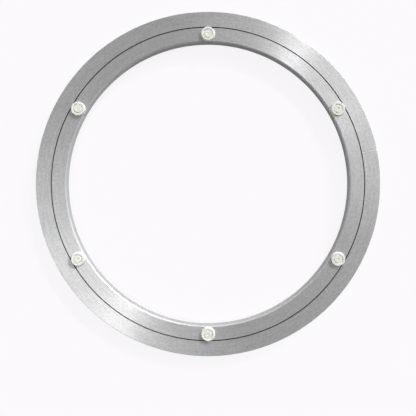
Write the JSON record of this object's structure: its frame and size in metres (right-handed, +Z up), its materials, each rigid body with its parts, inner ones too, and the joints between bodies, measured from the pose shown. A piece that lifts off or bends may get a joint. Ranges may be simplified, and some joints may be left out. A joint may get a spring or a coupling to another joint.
{
  "type": "lazy susan turntable ring",
  "caption": "Flat ring turntable with a wide open centre. An inner ring turns inside a fixed outer ring on a caged ball race, with soft pads above and soft feet below.",
  "frame": {"origin": "on the spin axis, in the plane that the feet stand on", "axes": "+Z up along the spin axis; +X through the first foot, and the first top pad is 30 degrees anticlockwise from it"},
  "size_m": [0.457, 0.457, 0.0145],
  "materials": {
    "ring_aluminium": "turned and brushed around the ring, clear anodised",
    "ball_steel": "ground and polished bearing steel",
    "cage_nylon": "moulded black nylon",
    "pad_silicone": "moulded milky silicone, satin"
  },
  "bodies": {
    "base": {"outer_ring": "ring_aluminium", "foot_pad_1": "pad_silicone", "foot_pad_2": "pad_silicone", "foot_pad_3": "pad_silicone", "foot_pad_4": "pad_silicone", "foot_pad_5": "pad_silicone", "foot_pad_6": "pad_silicone"},
    "turntable": {"inner_ring": "ring_aluminium", "top_pad_1": "pad_silicone", "top_pad_2": "pad_silicone", "top_pad_3": "pad_silicone", "top_pad_4": "pad_silicone", "top_pad_5": "pad_silicone", "top_pad_6": "pad_silicone"},
    "ball_cage": {"cage_segment_1": "cage_nylon", "cage_segment_2": "cage_nylon", "cage_segment_3": "cage_nylon", "cage_segment_4": "cage_nylon", "cage_segment_5": "cage_nylon", "cage_segment_6": "cage_nylon", "ball_set_1": "ball_steel", "ball_set_2": "ball_steel", "ball_set_3": "ball_steel", "ball_set_4": "ball_steel", "ball_set_5": "ball_steel", "ball_set_6": "ball_steel"}
  },
  "joints": [
    {"name": "turntable_spin", "type": "hinge", "parent": "base", "child": "turntable", "pos_m": [0, 0, 0.00725], "axis": [0, 0, 1], "continuous": true},
    {"name": "cage_orbit", "type": "hinge", "parent": "base", "child": "ball_cage", "pos_m": [0, 0, 0.00725], "axis": [0, 0, 1], "continuous": true}
  ],
  "couplings": [
    {"joint": "cage_orbit", "follows": "turntable_spin", "ratio": 0.49427}
  ]
}
